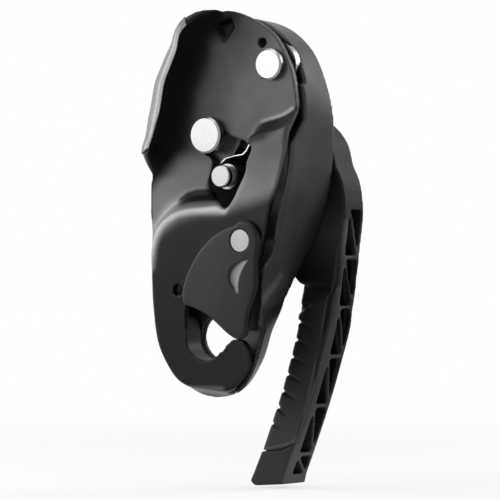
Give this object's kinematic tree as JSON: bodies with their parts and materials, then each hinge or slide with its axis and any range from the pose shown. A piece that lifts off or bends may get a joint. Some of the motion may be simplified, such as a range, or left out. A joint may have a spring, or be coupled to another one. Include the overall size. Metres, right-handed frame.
{
  "type": "self-braking descender",
  "caption": "Self-braking rope descender: two side plates round a pivoting friction cam, a swinging front plate with a sprung gate on its hook, and a ribbed hand lever.",
  "frame": {"origin": "centre of the attachment eye, halfway through its plate", "axes": "+Z from the eye up the body, the front plate faces -Y, +X towards the side the lever hangs on"},
  "size_m": [0.0784, 0.0451, 0.1835],
  "materials": {
    "anodised_shell": "satin black anodised",
    "anodised_plate": "satin black anodised",
    "stainless": "brushed",
    "polished_steel": "polished",
    "black_nylon": "moulded, fine grain",
    "grip_rubber": "matt, soft",
    "cam_alloy": "hard anodised",
    "bronze": "sintered",
    "spring_steel": "drawn wire"
  },
  "bodies": {
    "rear_frame": {"fixed_side_plate": "anodised_shell", "friction_plate": "stainless", "friction_plate_rivets": "polished_steel", "cam_axle": "polished_steel", "cam_washer": "stainless", "handle_axle": "polished_steel", "handle_axle_ring": "polished_steel", "handle_axle_collar": "cam_alloy", "plate_pivot_rivet": "polished_steel", "plate_pivot_spacer": "polished_steel", "plate_pivot_washer": "stainless", "cam_stop_pin": "stainless", "cam_return_spring": "spring_steel", "handle_washer": "stainless", "handle_axle_nut": "stainless"},
    "front_plate": {"moving_side_plate": "anodised_plate", "lip_wear_strip": "stainless", "gate_axle": "polished_steel", "gate_spring": "spring_steel", "gate_stop_pin": "stainless"},
    "gate": {"safety_gate": "black_nylon", "gate_core": "black_nylon"},
    "cam": {"cam": "cam_alloy", "cam_bushing": "bronze", "cam_drive_pin": "stainless"},
    "lever": {"handle_lever": "black_nylon", "handle_grip_pad": "grip_rubber", "handle_drive_plate": "stainless", "drive_plate_screws": "stainless", "handle_bushing": "bronze", "handle_hub_cover": "black_nylon", "handle_return_spring": "spring_steel"}
  },
  "joints": [
    {"name": "front_plate_swing", "type": "hinge", "parent": "rear_frame", "child": "front_plate", "pos_m": [0.0265, 0, 0.10375], "axis": [0, 1, 0], "range_deg": [0, 105]},
    {"name": "gate_swing", "type": "hinge", "parent": "front_plate", "child": "gate", "pos_m": [0.0183, 0, 0.037], "axis": [0, 1, 0], "range_deg": [0, 30]},
    {"name": "lever_swing", "type": "hinge", "parent": "rear_frame", "child": "lever", "pos_m": [0.0048, 0, 0.06162], "axis": [0, -1, 0], "range_deg": [0, 110]},
    {"name": "cam_turn", "type": "hinge", "parent": "rear_frame", "child": "cam", "pos_m": [-0.0024, 0, 0.0775], "axis": [0, -1, 0], "range_deg": [0, 22]}
  ],
  "couplings": [
    {"joint": "cam_turn", "follows": "lever_swing", "ratio": 0.2}
  ]
}
